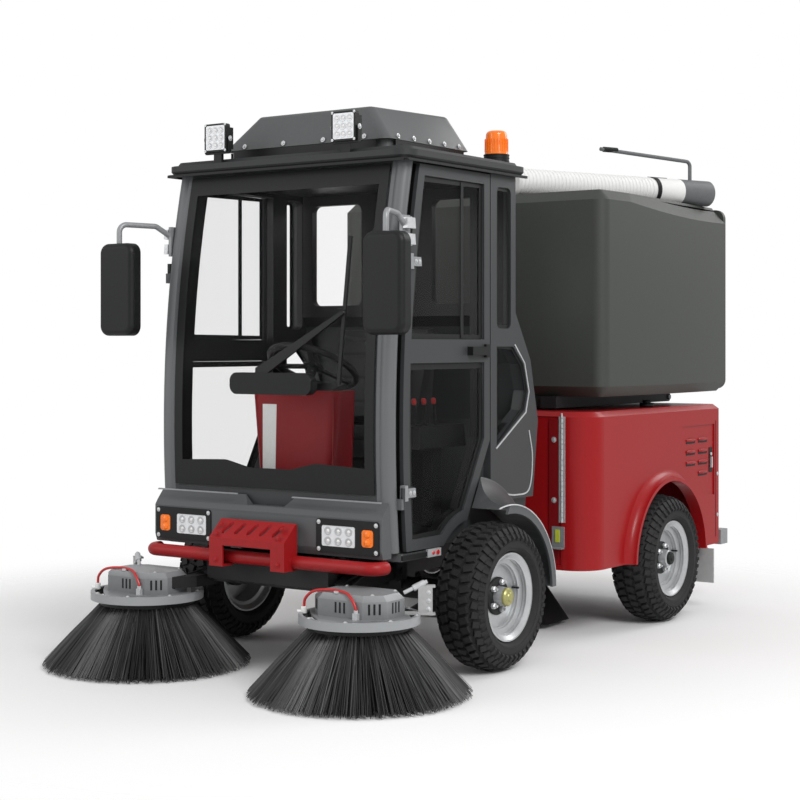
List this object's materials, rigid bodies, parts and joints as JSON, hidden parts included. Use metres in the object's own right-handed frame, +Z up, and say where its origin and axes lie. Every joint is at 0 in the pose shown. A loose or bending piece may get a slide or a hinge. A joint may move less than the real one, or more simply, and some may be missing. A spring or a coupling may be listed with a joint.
{
  "type": "articulated road sweeper",
  "caption": "Compact ride-on road sweeper, hinged in the middle, with a glazed cab, side brushes, a tipping hopper and a wander hose.",
  "frame": {"origin": "on the ground at the middle of the whole length and width", "axes": "+Z up, -Y forward, +X to the machine's own left"},
  "size_m": [1.8699, 3.242, 2.1999],
  "materials": {
    "cab_grey": "satin dark grey paint on pressed steel and moulded panels",
    "frame_black": "semi-gloss black chassis paint",
    "body_red": "bright red gloss paint",
    "bumper_red": "red powder coat",
    "hopper_olive": "dark olive-grey satin finish",
    "glass": "tinted safety glass",
    "black_plastic": "black moulded plastic",
    "lens_clear": "clear lamp lens over small lights",
    "amber": "amber lens",
    "tyre": "black turf tyre",
    "rim_silver": "silver painted steel wheel",
    "bristle": "dark grey polypropylene bristles",
    "metal_grey": "light grey painted steel",
    "seat_trim": "black synthetic leather",
    "console_red": "dark red moulded cover",
    "hose_white": "white ribbed flexible hose",
    "nozzle_grey": "grey moulded pipe",
    "flap_grey": "light grey rubber"
  },
  "bodies": {
    "cab_unit": {"cab_shell": "cab_grey", "cab_glass": "glass", "cab_roof": "cab_grey", "aircon_unit": "cab_grey", "nose_panel": "cab_grey", "lamp_housings": "black_plastic", "lamp_lenses": "lens_clear", "amber_lamps": "amber", "bumper": "bumper_red", "fenders": "cab_grey", "wiper": "black_plastic", "mirror_arms": "metal_grey", "mirror_heads": "black_plastic", "seat": "seat_trim", "console": "console_red", "front_frame": "frame_black", "front_axle": "frame_black"},
    "steering_wheel": {"steering_wheel": "black_plastic"},
    "rear_unit": {"rear_frame": "metal_grey", "rear_axle": "frame_black", "body_shell": "body_red", "power_block": "frame_black", "suction_mouth": "frame_black", "mudflaps": "flap_grey"},
    "hopper": {"hopper_tank": "hopper_olive", "hopper_frame": "frame_black", "suction_hose": "hose_white", "hose_nozzle": "nozzle_grey"},
    "hopper_door": {"hopper_door": "hopper_olive"},
    "door_left": {"door_left": "cab_grey", "door_glass_left": "glass"},
    "wheel_front_left": {"tyre_front_left": "tyre", "rim_front_left": "rim_silver"},
    "wheel_rear_left": {"tyre_rear_left": "tyre", "rim_rear_left": "rim_silver"},
    "brush_arm_left": {"brush_arm_left": "frame_black", "brush_cover_left": "metal_grey"},
    "brush_left": {"brush_left": "bristle"},
    "door_right": {"door_right": "cab_grey", "door_glass_right": "glass"},
    "wheel_front_right": {"tyre_front_right": "tyre", "rim_front_right": "rim_silver"},
    "wheel_rear_right": {"tyre_rear_right": "tyre", "rim_rear_right": "rim_silver"},
    "brush_arm_right": {"brush_arm_right": "frame_black", "brush_cover_right": "metal_grey"},
    "brush_right": {"brush_right": "bristle"}
  },
  "joints": [
    {"name": "door_left_hinge", "type": "hinge", "parent": "cab_unit", "child": "door_left", "pos_m": [0.582, -1.016, 1.2], "axis": [0, 0, -1], "range_deg": [0, 75]},
    {"name": "wheel_front_left_spin", "type": "hinge", "parent": "cab_unit", "child": "wheel_front_left", "pos_m": [0.657, -0.519, 0.29], "axis": [1, 0, 0], "continuous": true},
    {"name": "wheel_rear_left_spin", "type": "hinge", "parent": "rear_unit", "child": "wheel_rear_left", "pos_m": [0.657, 0.917, 0.29], "axis": [1, 0, 0], "continuous": true},
    {"name": "brush_lift_left", "type": "hinge", "parent": "cab_unit", "child": "brush_arm_left", "pos_m": [0.33, -0.719, 0.385], "axis": [-1, 0, 0], "range_deg": [0, 5]},
    {"name": "brush_spin_left", "type": "hinge", "parent": "brush_arm_left", "child": "brush_left", "pos_m": [0.523, -1.209, 0.25], "axis": [0, 0, 1], "continuous": true},
    {"name": "door_right_hinge", "type": "hinge", "parent": "cab_unit", "child": "door_right", "pos_m": [-0.582, -1.016, 1.2], "axis": [0, 0, 1], "range_deg": [0, 75]},
    {"name": "wheel_front_right_spin", "type": "hinge", "parent": "cab_unit", "child": "wheel_front_right", "pos_m": [-0.657, -0.519, 0.29], "axis": [1, 0, 0], "continuous": true},
    {"name": "wheel_rear_right_spin", "type": "hinge", "parent": "rear_unit", "child": "wheel_rear_right", "pos_m": [-0.657, 0.917, 0.29], "axis": [1, 0, 0], "continuous": true},
    {"name": "brush_lift_right", "type": "hinge", "parent": "cab_unit", "child": "brush_arm_right", "pos_m": [-0.33, -0.719, 0.385], "axis": [-1, 0, 0], "range_deg": [0, 5]},
    {"name": "brush_spin_right", "type": "hinge", "parent": "brush_arm_right", "child": "brush_right", "pos_m": [-0.523, -1.209, 0.25], "axis": [0, 0, 1], "continuous": true},
    {"name": "articulation", "type": "hinge", "parent": "cab_unit", "child": "rear_unit", "pos_m": [0, 0.126, 0.4], "axis": [0, 0, 1], "range_deg": [-20, 20]},
    {"name": "steering_wheel_spin", "type": "hinge", "parent": "cab_unit", "child": "steering_wheel", "pos_m": [0, -0.859, 1.09], "axis": [0, 0.4695, 0.8829], "continuous": true},
    {"name": "hopper_tip", "type": "hinge", "parent": "rear_unit", "child": "hopper", "pos_m": [0, 1.457, 1.012], "axis": [-1, 0, 0], "range_deg": [0, 45]},
    {"name": "hopper_door_hinge", "type": "hinge", "parent": "hopper", "child": "hopper_door", "pos_m": [0, 1.595, 1.955], "axis": [1, 0, 0], "range_deg": [0, 90]}
  ]
}
